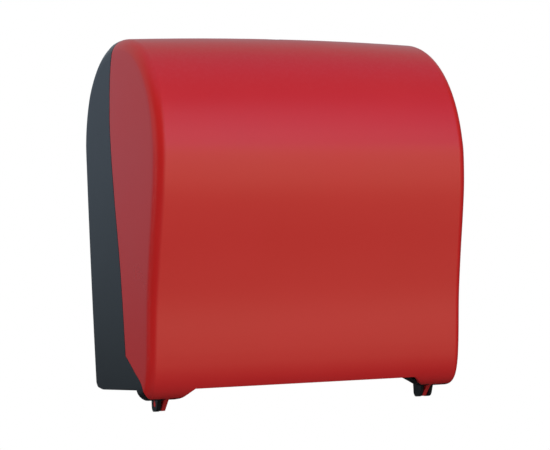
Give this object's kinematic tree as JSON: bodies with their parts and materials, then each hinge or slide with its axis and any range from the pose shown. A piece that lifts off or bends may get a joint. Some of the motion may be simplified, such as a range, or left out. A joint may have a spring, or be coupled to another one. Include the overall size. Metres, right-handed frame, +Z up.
{
  "type": "roll towel dispenser",
  "caption": "Wall-mounted mechanical roll towel dispenser: red cover hinged at the bottom on a dark rear case, sprung roll arms and a self-cutting drum with pinch roller.",
  "frame": {"origin": "middle of the four wall screw holes, on the plane of the wall", "axes": "+X to the right of someone facing the dispenser, +Y into the wall, +Z up"},
  "size_m": [0.3384, 0.2207, 0.3776],
  "materials": {
    "case_plastic": "satin moulded ABS, dark slate grey",
    "cover_plastic": "satin moulded ABS, red",
    "lock_metal": "nickel-plated zinc, satin",
    "zinc_steel": "bright zinc-plated steel",
    "screw_steel": "zinc-plated steel screws",
    "spring_steel": "bright spring wire",
    "arm_plastic": "dark grey moulded acetal",
    "hub_plastic": "light grey moulded acetal",
    "frame_plastic": "dark grey moulded ABS",
    "bush_plastic": "natural acetal",
    "drum_plastic": "dark grey moulded ABS",
    "grip_rubber": "ground rubber",
    "carrier_metal": "mill finish extrusion",
    "blade_steel": "stainless strip, toothed edge",
    "wheel_plastic": "blue-grey moulded ABS, scalloped rim"
  },
  "bodies": {
    "case": {"rear_case": "case_plastic", "lock_keeper": "zinc_steel", "keeper_screws": "screw_steel", "arm_pins": "zinc_steel", "arm_spring_left": "spring_steel", "arm_spring_right": "spring_steel", "side_plate_left": "frame_plastic", "side_plate_right": "frame_plastic", "front_guard": "frame_plastic", "rear_guide": "frame_plastic", "lower_chute": "frame_plastic", "tie_bars": "zinc_steel", "module_screws": "screw_steel", "drum_bushes": "bush_plastic", "knife_cam": "bush_plastic", "spring_housing": "frame_plastic", "return_spring": "spring_steel", "pinch_springs": "spring_steel"},
    "cover": {"front_cover": "cover_plastic", "lock_housing": "lock_metal"},
    "lock": {"lock_barrel": "lock_metal", "lock_tongue": "zinc_steel", "lock_screw": "zinc_steel"},
    "arm_left": {"roll_arm_left": "arm_plastic", "hub_axle_left": "zinc_steel"},
    "arm_right": {"roll_arm_right": "arm_plastic", "hub_axle_right": "zinc_steel"},
    "hub_left": {"roll_hub_left": "hub_plastic"},
    "hub_right": {"roll_hub_right": "hub_plastic"},
    "drum": {"drum_shell_front": "drum_plastic", "drum_shell_rear": "drum_plastic", "drum_grips": "grip_rubber", "drum_end_left": "drum_plastic", "drum_end_right": "drum_plastic", "drum_ties": "zinc_steel", "drum_screws": "screw_steel", "feed_wheel": "wheel_plastic", "crank_disc": "bush_plastic", "knife_springs": "spring_steel"},
    "knife": {"knife_carrier": "carrier_metal", "knife_blade": "blade_steel", "knife_rivets": "screw_steel", "knife_pins": "zinc_steel", "knife_lever": "carrier_metal", "cam_roller": "bush_plastic"},
    "pinch_carriage": {"pinch_blocks": "bush_plastic"},
    "pinch_roller": {"pinch_shaft": "zinc_steel", "pinch_sleeves": "grip_rubber"}
  },
  "joints": [
    {"name": "cover_hinge", "type": "hinge", "parent": "case", "child": "cover", "pos_m": [0, -0.134, -0.2055], "axis": [1, 0, 0], "range_deg": [0, 95]},
    {"name": "lock_turn", "type": "hinge", "parent": "cover", "child": "lock", "pos_m": [0, -0.1185, 0.15], "axis": [0, 0, 1], "range_deg": [0, 90]},
    {"name": "arm_left_swing", "type": "hinge", "parent": "case", "child": "arm_left", "pos_m": [-0.115, -0.014, 0.0525], "axis": [0, 0, -1], "range_deg": [0, 12], "stiffness_Nm_per_rad": 1.5, "springref_deg": -17.19, "deforming": ["arm_spring_left"]},
    {"name": "arm_right_swing", "type": "hinge", "parent": "case", "child": "arm_right", "pos_m": [0.115, -0.014, 0.0525], "axis": [0, 0, 1], "range_deg": [0, 12], "stiffness_Nm_per_rad": 1.5, "springref_deg": -17.19, "deforming": ["arm_spring_right"]},
    {"name": "hub_left_spin", "type": "hinge", "parent": "arm_left", "child": "hub_left", "pos_m": [-0.1, -0.11, 0.0465], "axis": [1, 0, 0], "continuous": true},
    {"name": "hub_right_spin", "type": "hinge", "parent": "arm_right", "child": "hub_right", "pos_m": [0.1, -0.11, 0.0465], "axis": [1, 0, 0], "continuous": true},
    {"name": "drum_spin", "type": "hinge", "parent": "case", "child": "drum", "pos_m": [0, -0.106, -0.124], "axis": [1, 0, 0], "continuous": true, "deforming": ["return_spring"]},
    {"name": "knife_swing", "type": "hinge", "parent": "drum", "child": "knife", "pos_m": [0, -0.10813, -0.15235], "axis": [1, 0, 0], "range_deg": [0, 26], "stiffness_Nm_per_rad": 0.6, "springref_deg": -17.19, "deforming": ["knife_springs"]},
    {"name": "pinch_lift", "type": "slide", "parent": "case", "child": "pinch_carriage", "axis": [0, 0.2079, 0.9781], "range_m": [0, 0.003], "stiffness_N_per_m": 2500, "springref_m": -0.004, "deforming": ["pinch_springs"]},
    {"name": "pinch_spin", "type": "hinge", "parent": "pinch_carriage", "child": "pinch_roller", "pos_m": [0, -0.09606, -0.07724], "axis": [1, 0, 0], "continuous": true}
  ],
  "couplings": [
    {"joint": "pinch_spin", "follows": "drum_spin", "ratio": -4}
  ]
}
